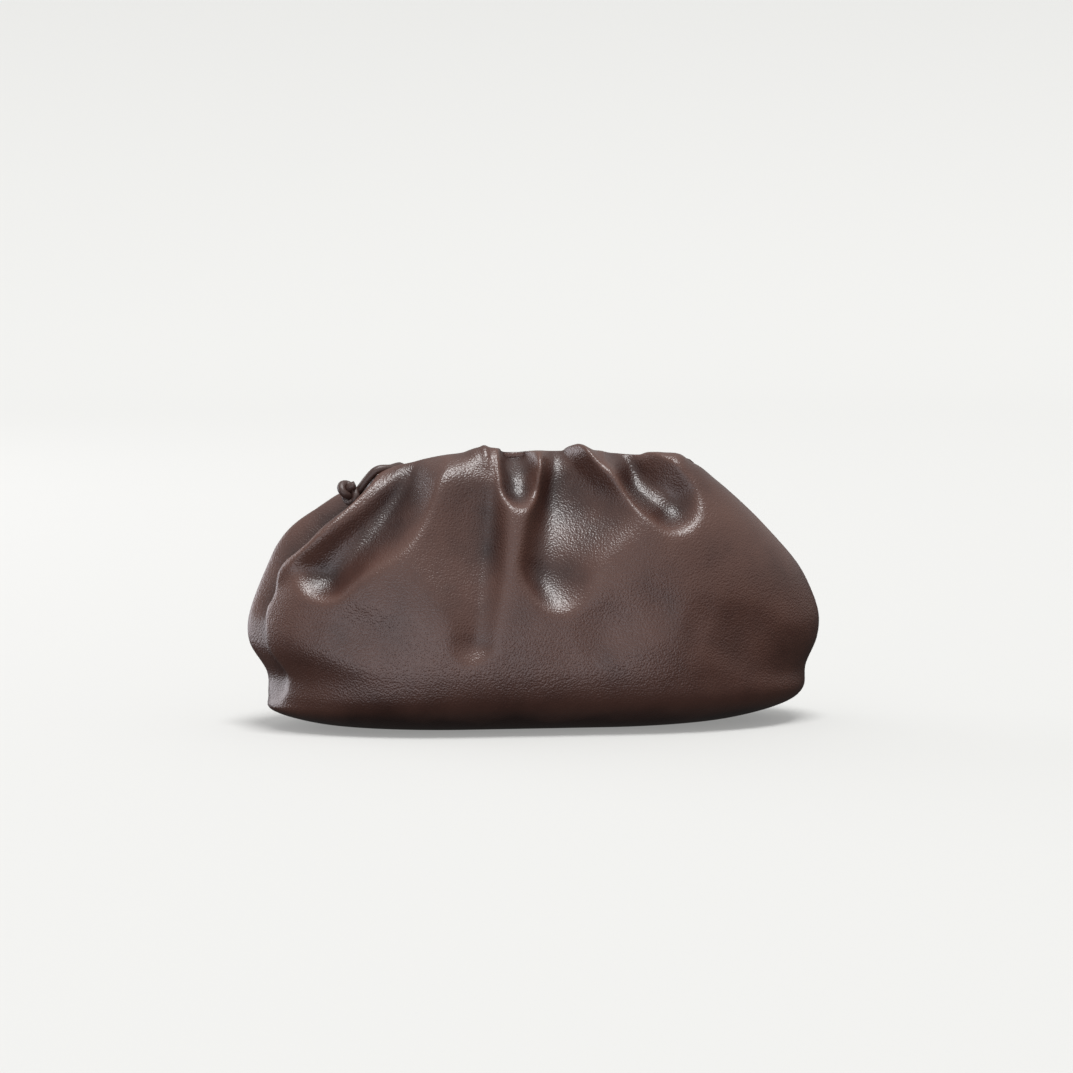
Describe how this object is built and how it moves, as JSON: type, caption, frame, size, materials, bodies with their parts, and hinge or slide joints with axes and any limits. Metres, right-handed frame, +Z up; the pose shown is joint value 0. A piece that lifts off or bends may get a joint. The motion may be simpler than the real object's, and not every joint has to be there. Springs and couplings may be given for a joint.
{
  "type": "gathered leather pouch bag",
  "caption": "Soft leather clutch gathered in deep pleats onto a slim arched mouth rim, with a knotted strap end at each end of the mouth.",
  "frame": {"origin": "middle of the flat base, on the surface that the bag stands on", "axes": "+X along the mouth to the viewer's right, -Y to the front, +Z up"},
  "size_m": [0.3086, 0.132, 0.1514],
  "materials": {
    "leather": "soft dark brown leather with a fine grain and a satin sheen",
    "edge_leather": "the same brown leather, bound and knotted, slightly duller"
  },
  "bodies": {
    "root": {"leather_body": "leather", "mouth_rim": "edge_leather", "knot_left": "edge_leather", "knot_right": "edge_leather"}
  },
  "joints": []
}
